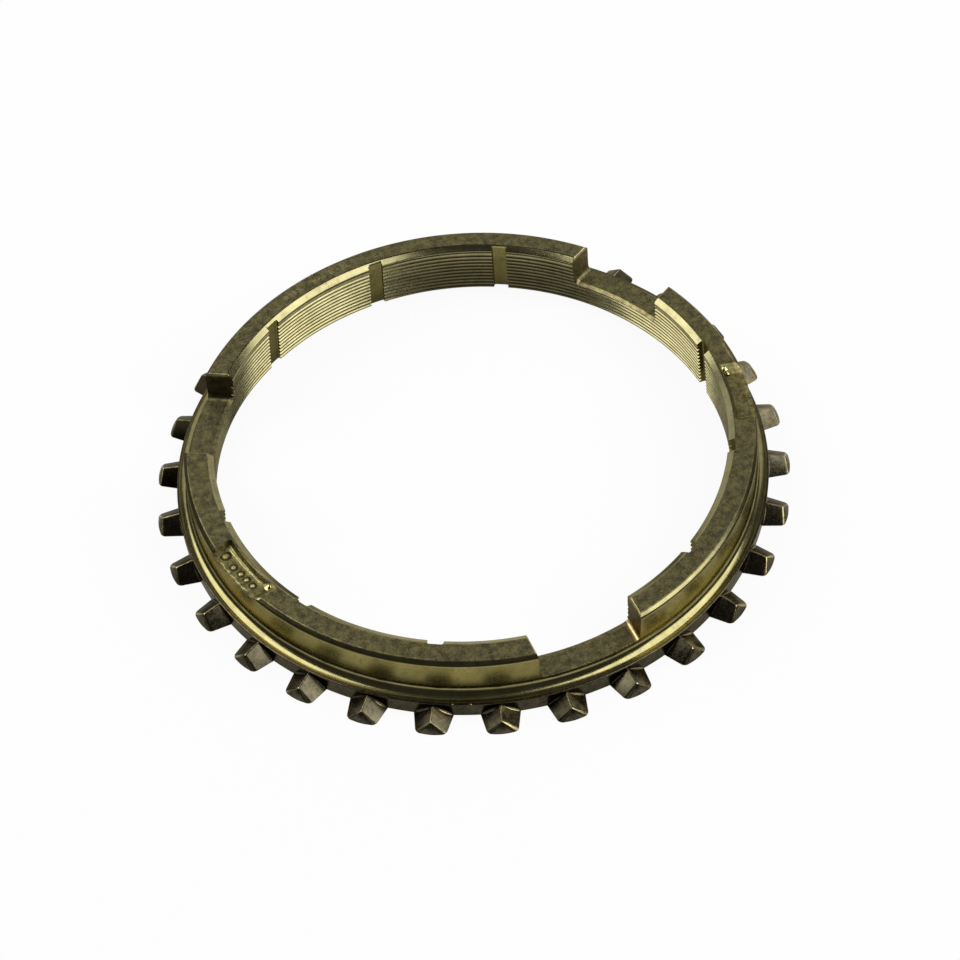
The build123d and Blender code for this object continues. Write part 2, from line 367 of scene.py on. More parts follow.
def ring_body(materials):
    """The ring without its teeth: its section carried round the axis, then cut.

    Key slots hold each point's height down to the column's cut; grooves push points outward to the groove's
    floor, which runs parallel to the cone; pockets lower the land outside their inner wall. Each face's kind
    follows from its part of the section and its cut, and each point's worn edges, painted highlights and
    painted shade from its place.
    """
    row_r, row_z, row_kind, row_wear, row_side, row_valley = ring_section()
    col = ring_columns()
    r = np.repeat(row_r[:, None], len(col), 1)
    z = np.repeat(row_z[:, None], len(col), 1)
    side = np.repeat(row_side[:, None], len(col), 1)
    slot, groove, pocket, nick = (col[:, i][None] for i in range(2, 6))
    inner = side >= INNER_SIDE
    order = np.flatnonzero(row_side >= INNER_SIDE)[::-1]
    level = np.maximum.accumulate(row_z[order])

    turn = (col[:, 0] + np.degrees(np.arcsin(col[:, 1] / MID_RADIUS))) % 360.0
    narrow = np.zeros(len(col))
    for middle, half_span, depth in BORE_FLATS:
        narrow = narrow + depth * smooth(1.0 - off_angle(turn, middle) / half_span)
    r = r - narrow * np.clip((45.5 - r) / 1.5, 0.0, 1.0)

    bevel_share = smooth((SLOT_FLOOR + SLOT_CORNER - slot) / SLOT_CORNER)
    lowest = slot - FLOOR_EDGE_DROP * bevel_share
    edge_r = np.interp(lowest, level, row_r[order])
    edge_r = np.where(lowest > RING_HEIGHT, LAND_INNER, edge_r)
    ramp = np.clip((FLOOR_EDGE_RADIUS - r) / np.maximum(FLOOR_EDGE_RADIUS - edge_r, 0.05), 0.0, 1.0)
    cut = slot - FLOOR_EDGE_DROP * bevel_share * ramp
    past = inner & (z > lowest) & ((side >= THREAD_SIDE) | (r < edge_r))
    in_slot = (z > cut) | past
    z = np.minimum(z, cut)
    r = np.where(past, edge_r, r)
    z = np.where(past, lowest, z)

    nicked = smooth((r - NICK_SPAN[0]) / 0.35) * smooth((NICK_SPAN[1] - r) / 0.35) * (side == LAND_SIDE)
    z = z - NICK_DEPTH * np.abs(nick) * nicked

    pocket_top = RING_HEIGHT - pocket * np.clip((r - POCKET_RIM) / POCKET_WALL_RUN, 0.0, 1.0)
    in_pocket = (z > pocket_top) & (r > POCKET_RIM) & (pocket > 0)
    z = np.where(in_pocket, pocket_top, z)

    floor_r = CONE_GEAR_RADIUS - z * CONE_SLOPE + groove
    in_groove = (groove > 0) & (r < floor_r)
    r = np.where(in_groove, floor_r, r)

    angle = np.radians(col[:, 0])[None] + np.arcsin(col[:, 1][None] / r)
    points = np.stack([r * np.cos(angle), r * np.sin(angle), z], -1)
    rows, cols = r.shape
    index = np.arange(rows * cols).reshape(rows, cols)
    below = index
    above = np.roll(index, -1, 0)
    faces = np.stack([below, np.roll(below, -1, 1), np.roll(above, -1, 1), above], -1).reshape(-1, 4)

    next_kind = np.roll(row_kind, -1)
    edge_kind = np.where(row_side == np.roll(row_side, -1), row_kind, np.minimum(row_kind, next_kind))
    kind = np.repeat(edge_kind[:, None], cols, 1)
    slot_after = np.roll(in_slot, -1, 1)
    cut_face = in_slot & (np.roll(in_slot, -1, 0) | slot_after) | slot_after & np.roll(slot_after, -1, 0)
    kind = np.where(cut_face, TUMBLED, kind)
    kind = np.where(in_pocket & np.roll(in_pocket, -1, 0), CAST, kind)
    kind = np.where(in_groove & (kind == THREAD), COLLAR, kind)
    above_floor = slot - SLOT_FLOOR
    stained_wall = in_slot & within(turn, STAINED_WALL) & (above_floor > 0.01) & (above_floor < 3.0)
    kind = np.where(stained_wall & (kind == TUMBLED), STAINED, kind)

    rubbed = np.maximum(*(near(turn, *place) for place in RUBBED_OUTER))
    wear_and_highlight = np.repeat(row_wear[:, None], cols, 1)
    wear_and_highlight = wear_and_highlight * np.where(side == LAND_EDGE_SIDE, 0.25 + 0.75 * rubbed, 1.0)
    wear_and_highlight = np.where(side == INNER_SIDE, np.maximum(wear_and_highlight, 0.9 * near(turn, *RUBBED_INNER)), wear_and_highlight)
    outermost = (side == LAND_SIDE) & (r > LAND_OUTER - 0.3)
    wear_and_highlight = np.where(outermost, 0.8 * near(turn, *RUBBED_OUTER[1]), wear_and_highlight)
    slot_edge = np.abs(slot - (RING_HEIGHT - 0.1)) < 0.25
    wear_and_highlight = np.where(in_slot, np.where(slot_edge, 0.8, 0.0), wear_and_highlight)
    # A painted highlight along the fillet at the foot of the stained wall
    wear_and_highlight = np.where(stained_wall & (above_floor > 0.08) & (above_floor < 0.55), 1.0, wear_and_highlight)
    wear_and_highlight = np.where(in_groove, 0.0, wear_and_highlight)
    pocket_rim = in_pocket & (side >= COLLAR_EDGE_SIDE) & (side <= LAND_EDGE_SIDE)
    wear_and_highlight = np.where(pocket_rim, 0.45, wear_and_highlight)
    floor_edge = in_slot & (ramp > 0.05) & (above_floor < 0.5) & within(turn, RUBBED_FLOOR_EDGE)
    wear_and_highlight = np.where(floor_edge, 0.75, wear_and_highlight)
    # A painted highlight on one side of each nick
    wear_and_highlight = np.maximum(wear_and_highlight, np.where(nick > 0.5, 0.75, 0.0) * nicked)

    valley = np.where(in_groove | in_slot, 0.0, np.repeat(row_valley[:, None], cols, 1))
    # Painted shade in the oil grooves, darkest at the bottom, where the floor under the ring lies in shade
    valley = np.where(in_groove, 3.0 * smooth((3.5 - z) / 3.5), valley)
    # Painted shade on the left slot's far wall, and below on the left pocket's left end
    shaded_slot_wall = in_slot & within(turn, SHADED_SLOT_WALL) & (above_floor > 0.2)
    valley = np.where(shaded_slot_wall, 3.5, valley)
    shaded_pocket_end = in_pocket & within(turn, SHADED_POCKET_END) & (r < 45.3) & (pocket < 1.05)
    # Painted shade on the other side of each nick is added here
    valley = np.where(shaded_pocket_end, 4.0, valley) + 4.0 * np.where(nick < -0.5, 1.0, 0.0) * nicked

    flat = points.reshape(-1, 3)
    faces, kind = drop_empty(flat, faces, kind.reshape(-1))
    return mesh_piece("ring_body", flat, faces, materials, kind, {"wear_and_highlight": wear_and_highlight, "valley": valley}, 32.0)


def drop_empty(points, faces, kinds):
    """The faces that have some area, with their kinds."""
    quad = points[faces]
    area = np.linalg.norm(np.cross(quad[:, 2] - quad[:, 0], quad[:, 3] - quad[:, 1]), axis=1)
    keep = area > 1e-7
    return faces[keep], kinds[keep]


def srgb(code):
    """An sRGB hex colour as linear RGBA."""
    values = np.array([int(code[i:i + 2], 16) for i in (1, 3, 5)]) / 255
    linear = np.where(values <= 0.04045, values / 12.92, ((values + 0.055) / 1.055) ** 2.4)
    return (*linear.tolist(), 1.0)


def add(tree, kind, settings=None, **links):
    """Adds a node, sets its properties and input values, and links the named inputs."""
    node = tree.nodes.new(kind)
    for key, value in (settings or {}).items():
        if isinstance(key, str) and hasattr(node, key):
            setattr(node, key, value)
        else:
            node.inputs[key].default_value = value
    for key, source in links.items():
        key = key.replace("_", " ")
        tree.links.new(source, node.inputs[int(key[3:])] if key.startswith("in ") else node.inputs[key])
    return node


# What all the brass shares: the width of turned lines, the size of stains and of the regions where the cool
# ones are strong, the depth of the bump, the colour of painted shade, and of worn edges and painted
# highlights
LINE_WIDTH = 0.30
STAIN_SIZE = 1.1
STAIN_REGION = 9.0
DENT_DEPTH = 0.05
PAINTED_SHADE_TONE = "#17140a"
PALE_WEAR_AND_HIGHLIGHT = "#cbbd86"


def brass(name, dark, light, warm, cool, roughness, spread, patch_mm, grain_mm, bump, lines):
    """Brass with a mottled skin.

    Two tones run into each other in patches and in fine grain, `spread` wide. Warm and cool stains lie over
    them. Painted shade darkens it where the valley attribute is set, and worn edges and painted highlights
    are pale. `lines` is how far the grain gives way to fine lines that run round the ring: noise read at the
    distance from the axis and the height.
    """
    material = bpy.data.materials.new(name)
    material.use_nodes = True
    tree = material.node_tree
    tree.nodes.clear()
    place = add(tree, "ShaderNodeTexCoord").outputs["Object"]
    level = add(tree, "ShaderNodeVectorMath", {"operation": "MULTIPLY", 1: (1.0, 1.0, 0.0)}, in_0=place)
    away = add(tree, "ShaderNodeVectorMath", {"operation": "LENGTH"}, in_0=level.outputs[0])
    apart = add(tree, "ShaderNodeSeparateXYZ", None, in_0=place)
    around = add(tree, "ShaderNodeCombineXYZ", None, X=away.outputs["Value"], Y=apart.outputs["Z"])
    drift = add(tree, "ShaderNodeVectorMath", {"operation": "MULTIPLY_ADD", 1: (0.02, 0.02, 0.0)},
                in_0=place, in_2=around.outputs[0])
    rounds = {"Scale": 1 / (LINE_WIDTH * MM), "Detail": 2.0, "Roughness": 0.6}
    rounds = add(tree, "ShaderNodeTexNoise", rounds, Vector=drift.outputs[0]).outputs["Fac"]
    patches = {"Scale": 1 / (patch_mm * MM), "Detail": 5.0, "Roughness": 0.62}
    patches = add(tree, "ShaderNodeTexNoise", patches, Vector=place).outputs["Fac"]
    speckle = {"Scale": 1 / (grain_mm * MM), "Detail": 3.0, "Roughness": 0.7}
    speckle = add(tree, "ShaderNodeTexNoise", speckle, Vector=place).outputs["Fac"]
    grain = add(tree, "ShaderNodeMix", {0: lines}, in_2=speckle, in_3=rounds).outputs[0]
    half = add(tree, "ShaderNodeMath", {"operation": "MULTIPLY", 1: 0.5}, in_0=patches)
    tone = add(tree, "ShaderNodeMath", {"operation": "MULTIPLY_ADD", 1: 0.5}, in_0=grain,
               in_2=half.outputs[0]).outputs[0]
    ramp = add(tree, "ShaderNodeMapRange", {"From Min": 0.5 - spread, "From Max": 0.5 + spread}, Value=tone)
    colour = add(tree, "ShaderNodeMix", {"data_type": "RGBA", 6: srgb(dark), 7: srgb(light)},
                 in_0=ramp.outputs[0])
    stains = {"Scale": 1 / (STAIN_SIZE * MM), "Detail": 5.0, "Roughness": 0.70}
    stains = add(tree, "ShaderNodeTexNoise", stains, Vector=place).outputs["Fac"]
    region = add(tree, "ShaderNodeTexNoise", {"Scale": 1 / (STAIN_REGION * MM), "Detail": 1.0}, Vector=place)
    share = {"From Min": 0.38, "From Max": 0.60, "To Min": 0.15, "To Max": 1.0}
    share = add(tree, "ShaderNodeMapRange", share, Value=region.outputs["Fac"])
    cold = add(tree, "ShaderNodeMapRange", {"From Min": 0.47, "From Max": 0.36, "To Max": 0.85},
               Value=stains)
    cold = add(tree, "ShaderNodeMath", {"operation": "MULTIPLY"}, in_0=cold.outputs[0],
               in_1=share.outputs[0])
    hot = add(tree, "ShaderNodeMapRange", {"From Min": 0.55, "From Max": 0.66, "To Max": 0.7}, Value=stains)
    colour = add(tree, "ShaderNodeMix", {"data_type": "RGBA", 7: srgb(cool)}, in_0=cold.outputs[0],
                 in_6=colour.outputs[2])
    colour = add(tree, "ShaderNodeMix", {"data_type": "RGBA", 7: srgb(warm)}, in_0=hot.outputs[0],
                 in_6=colour.outputs[2])
    # Painted shade: the valley attribute turns the colour towards a near-black brown
    valley = add(tree, "ShaderNodeAttribute", {"attribute_name": "valley"}).outputs["Fac"]
    shade = add(tree, "ShaderNodeMath", {"operation": "MULTIPLY", 1: 0.15}, in_0=valley)
    colour = add(tree, "ShaderNodeMix", {"data_type": "RGBA", 7: srgb(PAINTED_SHADE_TONE)}, in_0=shade.outputs[0],
                 in_6=colour.outputs[2])
    # Pale brass by point: worn edges, and painted highlights on lit roofs, fillets, nicks, spots and burrs
    wear_and_highlight = add(tree, "ShaderNodeAttribute", {"attribute_name": "wear_and_highlight"}).outputs["Fac"]
    pale_amount = add(tree, "ShaderNodeMath", {"operation": "MULTIPLY"}, in_0=wear_and_highlight, in_1=patches)
    rubbed = add(tree, "ShaderNodeMapRange", {"From Min": 0.18, "From Max": 0.55}, Value=pale_amount.outputs[0])
    colour = add(tree, "ShaderNodeMix", {"data_type": "RGBA", 7: srgb(PALE_WEAR_AND_HIGHLIGHT)}, in_0=rubbed.outputs[0],
                 in_6=colour.outputs[2])
    rough = {"From Min": 0.3, "From Max": 0.7, "To Min": roughness - 0.05, "To Max": roughness + 0.07}
    rough = add(tree, "ShaderNodeMapRange", rough, Value=grain)
    dents = add(tree, "ShaderNodeBump", {"Strength": bump, "Distance": DENT_DEPTH * MM}, Height=grain)
    metal = {"Metallic": 1.0, "Specular Tint": (0.78, 0.75, 0.66, 1.0)}
    shader = add(tree, "ShaderNodeBsdfPrincipled", metal, Roughness=rough.outputs[0],
                 Normal=dents.outputs[0])
    tree.links.new(colour.outputs[2], shader.inputs["Base Color"])
    output = add(tree, "ShaderNodeOutputMaterial")
    tree.links.new(shader.outputs[0], output.inputs["Surface"])
    return material


# Tumbled forging brass: dull olive grey, finely mottled with blue grey and gold, as the media left it
tumbled = brass("tumbled_brass", "#504b33", "#8a825c", "#928550", "#525347",
                roughness=0.46, spread=0.10, patch_mm=1.2, grain_mm=0.28, bump=0.3, lines=0.0)
# Brass turned on a lathe and dulled in store: golden olive with fine lines round the ring
turned = brass("turned_brass", "#7e774f", "#9a9467", "#94834e", "#706b4a",
               roughness=0.17, spread=0.12, patch_mm=3.0, grain_mm=0.5, bump=0.035, lines=0.85)
# The collar's wall, turned coarsely and rubbed in handling: softer shine than the flute
collar = brass("coarse_turned_brass", "#887d48", "#a69b60", "#a18847", "#787047",
               roughness=0.27, spread=0.12, patch_mm=3.0, grain_mm=0.5, bump=0.05, lines=0.5)
# The flange's lip, turned first and left dull: brown and matt beside the flute
dull = brass("dull_turned_brass", "#62573a", "#83764a", "#847345", "#544b30",
             roughness=0.34, spread=0.12, patch_mm=3.0, grain_mm=0.5, bump=0.08, lines=0.6)
# Friction thread cut last: the cleanest brass on the ring
threaded = brass("threaded_brass", "#807a55", "#9e9770", "#968a60", "#706a4c",
                 roughness=0.18, spread=0.12, patch_mm=3.0, grain_mm=0.5, bump=0.03, lines=0.7)
# Forging scale left on the flange and the teeth: charcoal with an olive cast
scale = brass("forging_scale_brass", "#3b382c", "#5e5845", "#5e5338", "#31312e",
              roughness=0.22, spread=0.10, patch_mm=2.0, grain_mm=0.4, bump=0.08, lines=0.0)

# The front slot's right wall, stained orange brown where the forging was trimmed
stained = brass("stained_brass", "#5c472c", "#8a6c46", "#9c7648", "#4a4234",
                roughness=0.34, spread=0.12, patch_mm=1.2, grain_mm=0.4, bump=0.15, lines=0.0)
# The pockets as cast: golden brown and grainy
cast = brass("cast_brass", "#5a5336", "#9c9460", "#9c8848", "#52503e",
             roughness=0.42, spread=0.09, patch_mm=0.8, grain_mm=0.25, bump=0.6, lines=0.0)


def tooth_points():
    """One blocking tooth on +X as points and normals on a grid of directions.

    The tooth is the hull of small balls: at the corners of its root, along its rounded plan and along its
    ridge. Each point lies on the ball that reaches farthest in the point's direction, so every edge is round
    and the faces between stay flat. The balls of the foot are smaller than those of the roof.
    """
    root = FLANGE_RADIUS - 1.2
    taper = (TOOTH_ROOT_HALF - TOOTH_TIP_HALF) / (TOOTH_TIP - FLANGE_RADIUS)
    side_turn = math.atan(taper)
    arc_x = TOOTH_TIP - TOOTH_END_BULGE - TOOTH_CORNER
    arc_y = (TOOTH_TIP_HALF + taper * (TOOTH_TIP - arc_x - TOOTH_CORNER * math.sin(side_turn))
             - TOOTH_CORNER * math.cos(side_turn))
    turn = np.linspace(math.pi / 2 - side_turn, 0.0, 9)
    corner_x = arc_x + TOOTH_CORNER * np.cos(turn)
    corner_y = arc_y + TOOTH_CORNER * np.sin(turn)
    end_y = np.linspace(arc_y, 0.0, 4)[1:]
    end_x = TOOTH_TIP - TOOTH_END_BULGE * (end_y / arc_y) ** 2
    plan_x = np.concatenate([[root], corner_x, end_x])
    plan_y = np.concatenate([[TOOTH_ROOT_HALF + 1.2 * taper], corner_y, end_y])
    out_turn = np.concatenate([[math.pi / 2 - side_turn], turn, [0.0] * 3])
    plan_x, plan_y = np.tile(plan_x, 2), np.concatenate([plan_y, -plan_y])
    out_x = np.tile(np.cos(out_turn), 2)
    out_y = np.concatenate([np.sin(out_turn), -np.sin(out_turn)])

    roof_z = math.cos(math.atan(TOOTH_ROOF))
    end_z = math.sqrt(1 + TOOTH_END_LEAN**2)
    ridge_at_root = TOOTH_RIDGE + FLANGE_RADIUS * TOOTH_RIDGE_FALL - TOOTH_EDGE / roof_z
    top_x, top_y = plan_x - TOOTH_EDGE * out_x, plan_y - TOOTH_EDGE * out_y
    top_z = np.minimum(ridge_at_root - top_x * TOOTH_RIDGE_FALL - np.abs(top_y) * TOOTH_ROOF,
                       (TOOTH_TIP - TOOTH_EDGE * end_z - top_x) / TOOTH_END_LEAN)
    high = top_z >= TOOTH_EDGE
    apex = ((TOOTH_TIP - TOOTH_EDGE * end_z - ridge_at_root * TOOTH_END_LEAN)
            / (1 - TOOTH_RIDGE_FALL * TOOTH_END_LEAN))
    ridge_x = np.array([root, apex])
    foot = np.full(len(plan_x), TOOTH_FOOT_EDGE)
    balls = np.concatenate([
        np.stack([top_x, top_y, top_z], -1)[high],
        np.stack([ridge_x, np.zeros(2), ridge_at_root - ridge_x * TOOTH_RIDGE_FALL], -1),
        np.stack([plan_x - foot * out_x, plan_y - foot * out_y, foot], -1),
    ])
    size = np.concatenate([np.full(high.sum() + 2, TOOTH_EDGE), foot])

    lat = np.radians(np.array([-60, -20, -10, -5, 0, 4, 8, 12, 17, 22, 27, 33, 40, 48, 57, 67, 78]))
    lon = np.radians(np.arange(0, 360, 7.5))
    lat, lon = np.meshgrid(lat, lon, indexing="ij")
    grid = np.stack([np.sin(lat), np.cos(lat) * np.cos(lon), np.cos(lat) * np.sin(lon)], -1)
    normals = np.concatenate([grid.reshape(-1, 3), [[-1.0, 0.0, 0.0], [1.0, 0.0, 0.0]]])
    far = np.argmax(normals @ balls.T + size, axis=1)
    points = balls[far] + size[far][:, None] * normals
    rows, around = grid.shape[:2]
    index = np.arange(rows * around).reshape(rows, around)
    here, there = index[:-1], index[1:]
    quads = np.stack([here, np.roll(here, -1, 1), np.roll(there, -1, 1), there], -1).reshape(-1, 4)
    back = np.stack([np.roll(index[0], -1), index[0], np.full(around, rows * around)], -1)
    tip = np.stack([index[-1], np.roll(index[-1], -1), np.full(around, rows * around + 1)], -1)
    return points, normals, quads, np.concatenate([back, tip])


def edge_wear(normals):
    """How far each normal turns away from all the tooth's faces: 1 in the middle of an upper edge."""
    roof = math.atan(TOOTH_ROOF)
    lean = math.atan(TOOTH_END_LEAN)
    faces = np.array([
        [0.12, math.sin(roof), math.cos(roof)], [0.12, -math.sin(roof), math.cos(roof)],
        [math.cos(lean), 0.0, math.sin(lean)], [0.2, 1.0, 0.0], [0.2, -1.0, 0.0], [0.0, 0.0, -1.0],
    ])
    faces /= np.linalg.norm(faces, axis=1)[:, None]
    nearest = (normals @ faces.T).max(1)
    return 0.85 * smooth((0.985 - nearest) / 0.07) * smooth((normals[:, 2] - 0.1) / 0.3)


def bosses(name, places, material, wear_and_highlight):
    """Low round bosses on flat faces, each place a row (angle, radius, base height, half width, rise, soot).

    With t the distance from the middle over the half width, a plain boss rises by (1 - t^2)^2. The last
    column's share turns it into a mound, exp(-(t / 0.42)^2), inside a flat ring of painted shade. The last
    argument makes a painted highlight: pale over all of a plain boss, and only on the mound's top.
    """
    rows = np.array(places, dtype=float)
    t = np.linspace(0.0, 1.0, 11)
    around = np.radians(np.arange(0, 360, 20.0))
    turn = np.radians(rows[:, 0])[:, None, None]
    away, base, half, rise, ringed = (rows[:, i][:, None, None] for i in range(1, 6))
    t = t[None, :, None]
    mound = np.exp(-((t / 0.42) ** 2))
    lift = rise * ((1 - ringed) * (1 - t**2) ** 2 + ringed * mound) - 0.03 * (t > 0.99)
    u = half * t * np.cos(around)
    v = half * t * np.sin(around)
    x = (away + u) * np.cos(turn) - v * np.sin(turn)
    y = (away + u) * np.sin(turn) + v * np.cos(turn)
    points = np.stack([x, y, np.broadcast_to(base + lift, x.shape)], -1)
    index = np.arange(x.size).reshape(x.shape)
    here, there = index[:, :-1], index[:, 1:]
    faces = np.stack([here, there, np.roll(there, -1, 2), np.roll(here, -1, 2)], -1)
    quads = faces[:, 1:].reshape(-1, 4).tolist()
    fans = np.concatenate([np.broadcast_to(index[:, :1, :1], index[:, 1].shape + (1,)).reshape(-1, 1),
                           faces[:, 0, :, 1:3].reshape(-1, 2)], 1).tolist()
    rubbed = wear_and_highlight * np.broadcast_to(1 - ringed * smooth((t - 0.3) / 0.2), x.shape)
    ring_shade = np.broadcast_to(5.0 * ringed * smooth((t - 0.4) / 0.2) * smooth((1.0 - t) / 0.2), x.shape)
    return mesh_piece(name, points.reshape(-1, 3), quads + fans, [material], None,
                      {"wear_and_highlight": rubbed, "valley": ring_shade}, 180.0)


def wavy_bead(name, start, span, radius, drift, half_width, height, wave, waves, material, wear_and_highlight):
    """A low bead on the floor of the left pocket.

    It is a half-round strip carried round the ring over `span` degrees, its radius drifting from end to end
    and waving by `wave`. Its width shrinks to nothing at both ends, and its height is a share of its width.
    """
    along = np.linspace(0.0, 1.0, 70)[:, None]
    across = np.linspace(-1.0, 1.0, 7)[None, :]
    turn = np.radians(start + span * along)
    width = half_width * smooth(along / 0.06) * smooth((1.0 - along) / 0.12)
    middle = radius + drift * along + wave * np.sin(waves * along)
    r = middle + width * across
    z = RING_HEIGHT - POCKET_DEPTH - 0.03 + height * width * np.sqrt(1.0 - 0.999 * across**2)
    points = np.stack([r * np.cos(turn), r * np.sin(turn), z], -1)
    rows, cols = z.shape
    index = np.arange(rows * cols).reshape(rows, cols)
    faces = np.stack([index[:-1, :-1], index[:-1, 1:], index[1:, 1:], index[1:, :-1]], -1).reshape(-1, 4)
    flat = points.reshape(-1, 3)
    faces, _ = drop_empty(flat, faces, np.zeros(len(faces)))
    return mesh_piece(name, flat, faces, [material], None, {"wear_and_highlight": np.full(z.size, wear_and_highlight)}, 180.0)


def root_fillets():
    """Concave fillets where a tooth's two roofs meet the flange, on +X.

    Each is a quadratic curve across the corner, from the wall to the roof, carried down the corner from the
    ridge to the eave and fading out at both ends.
    """
    along = np.linspace(0.0, 1.0, 12)[:, None]
    across = np.linspace(0.0, 1.0, 6)[None, :]
    size = 0.22 * np.sqrt(np.clip(np.sin(math.pi * (0.06 + 0.9 * along)), 0.0, 1.0))
    y = 0.15 + (TOOTH_ROOT_HALF - 0.35) * along
    z = TOOTH_RIDGE - y * TOOTH_ROOF
    sunk = 0.05
    tilt = math.atan(TOOTH_ROOF)
    up = (1 - across) ** 2 * size
    out = across**2 * size
    x = FLANGE_RADIUS - sunk * (1 - across) + out
    y = y + up * math.sin(tilt) - sunk * across * math.sin(tilt)
    z = z - out * TOOTH_RIDGE_FALL + up * math.cos(tilt) - sunk * across * math.cos(tilt)
    left = np.stack([x, y + 0 * x, z + 0 * x], -1)
    right = left * np.array([1.0, -1.0, 1.0])
    index = np.arange(left.shape[0] * left.shape[1]).reshape(left.shape[:2])
    quads = np.stack([index[:-1, :-1], index[:-1, 1:], index[1:, 1:], index[1:, :-1]], -1).reshape(-1, 4)
    points = np.concatenate([left.reshape(-1, 3), right.reshape(-1, 3)])
    return points, np.concatenate([quads, quads[:, ::-1] + index.size])


def tooth_turns():
    """For each tooth angle the matrix that turns row vectors from +X to it."""
    turn = np.radians(TOOTH_ANGLES)
    spin = np.zeros((len(turn), 3, 3))
    spin[:, 0, 0], spin[:, 0, 1] = np.cos(turn), np.sin(turn)
    spin[:, 1, 0], spin[:, 1, 1] = -np.sin(turn), np.cos(turn)
    spin[:, 2, 2] = 1.0
    return spin


def on_every_tooth(faces, count):
    """One tooth's faces, which index its `count` points, repeated for all the teeth."""
    shift = (np.arange(len(TOOTH_ANGLES)) * count)[:, None, None]
    return (faces[None] + shift).reshape(-1, faces.shape[1])


def fillet_piece(material):
    """The root fillets of all the teeth as one piece, the left one of each pair with a painted highlight."""
    points, quads = root_fillets()
    # A painted highlight on the lit fillet of each pair
    wear_and_highlight = np.tile(np.repeat([0.7, 0.0], len(points) // 2), len(TOOTH_ANGLES))
    return mesh_piece("root_fillets", (points @ tooth_turns()).reshape(-1, 3),
                      on_every_tooth(quads, len(points)), [material], None, {"wear_and_highlight": wear_and_highlight}, 180.0)


def blocking_teeth(material):
    """All the teeth: one tooth turned to each angle, some with painted shade and some with a painted
    highlight.
    """
    points, normals, quads, tris = tooth_points()
    spin = tooth_turns()
    faces = (on_every_tooth(quads, len(points)).tolist()
             + on_every_tooth(tris, len(points)).tolist())
    tooth_shade = amount_at(TOOTH_ANGLES, SHADED_TEETH)
    side_shade = amount_at(TOOTH_ANGLES, SHADED_TOOTH_SIDES)
    side_highlight = amount_at(TOOTH_ANGLES, LIT_TOOTH_SIDES)
    left = smooth((-normals[:, 1] - 0.2) / 0.2)
    right = smooth((normals[:, 1] - 0.2) / 0.2)
    # Worn upper edges, and a painted highlight on the lit roof of some teeth
    wear_and_highlight = np.maximum(edge_wear(normals)[None], side_highlight[:, None] * right[None])
    # Painted shade over whole teeth, and on the other roof of some
    valley = tooth_shade[:, None] + side_shade[:, None] * left[None]
    piece = mesh_piece("blocking_teeth", (points @ spin).reshape(-1, 3), faces, [material], None,
                       {"wear_and_highlight": wear_and_highlight, "valley": valley}, 180.0)
    piece.data.normals_split_custom_set_from_vertices((normals @ spin).reshape(-1, 3).tolist())
    return piece


body = ring_body([tumbled, turned, threaded, scale, dull, collar, stained, cast])
teeth = blocking_teeth(scale)
fillets = fillet_piece(scale)
# A round boss and four small ones stand in the left pocket, with painted highlights and painted shade
pocket_floor = RING_HEIGHT - POCKET_DEPTH + 0.02
pips = [(-170.8, 46.02, pocket_floor, 1.10, 0.10, 1.0), (-167.4, 46.15, pocket_floor, 0.85, 0.16, 1.0)]
pips += [(a, 45.95, pocket_floor, 0.80, 0.22, 1.0) for a in (-165.1, -163.2, -161.2)]
pocket_bosses = bosses("pocket_bosses", pips, cast, 0.9)
# A bright burr runs along the foot of that pocket's inner wall, and a duller scalloped one along its edge
# The pale colour of both is a painted highlight
bead = wavy_bead("pocket_bead", start=-172.6, span=12.8, radius=44.80, drift=-0.22, half_width=0.21,
                 height=0.8, wave=0.05, waves=16.0, material=cast, wear_and_highlight=1.0)
scallops = wavy_bead("pocket_scallops", start=-170.6, span=10.4, radius=47.12, drift=0.0, half_width=0.30,
                     height=0.50, wave=0.08, waves=33.0, material=cast, wear_and_highlight=0.5)
# Small burrs: along the outer edge of the front slot's floor, and two specks on the flange's edge
# Their pale colour is a painted highlight
burr_angles = np.linspace(-94.0, -80.6, 26)
burr_size = 0.17 + 0.06 * np.sin(burr_angles * 7.0) + 0.03 * np.sin(burr_angles * 17.0)
burrs = [(a, 47.48, SLOT_FLOOR - 0.02, size, 1.3 * size, 0.0) for a, size in zip(burr_angles, burr_size)]
burrs += [(-116.5, 49.68, 2.93, 0.14, 0.10, 0.0), (-113.2, 49.68, 2.93, 0.16, 0.11, 0.0)]
edge_burrs = bosses("edge_burrs", burrs, turned, 1.0)
# Three spots pressed into the pockets' ends, made bright with a painted highlight
spots = [(-158.3, 44.25, 10.02, 0.90, 0.38, 0.0), (-7.3, 44.80, 10.24, 0.75, 0.30, 0.0),
         (-8.4, 45.00, 9.75, 0.45, 0.30, 0.0)]
bright_spots = bosses("bright_spots", spots, turned, 1.0)
for piece in (body, teeth, fillets, pocket_bosses, bead, scallops, edge_burrs, bright_spots):
    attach(piece, "root")
    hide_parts("synchronizer_ring")


# How bright the metal sees the floor, by the distance from a middle: (middle, nearer and farther distance,
# level within the nearer, level beyond the farther), in metres. These are a painted shadow of the ring, from
# inside its bore out to beyond its rim, and a painted pool of light that ends farther out
PAINTED_SHADOW_INSIDE = ((0.0, 0.0, 0.0), 0.028, 0.041, 1.0, 0.12)
PAINTED_SHADOW_OUTSIDE = ((-0.0005, 0.0002, 0.0), 0.048, 0.059, 0.3, 1.0)
PAINTED_POOL = ((0.0047, -0.0017, 0.0), 0.060, 0.072, 1.0, 0.05)


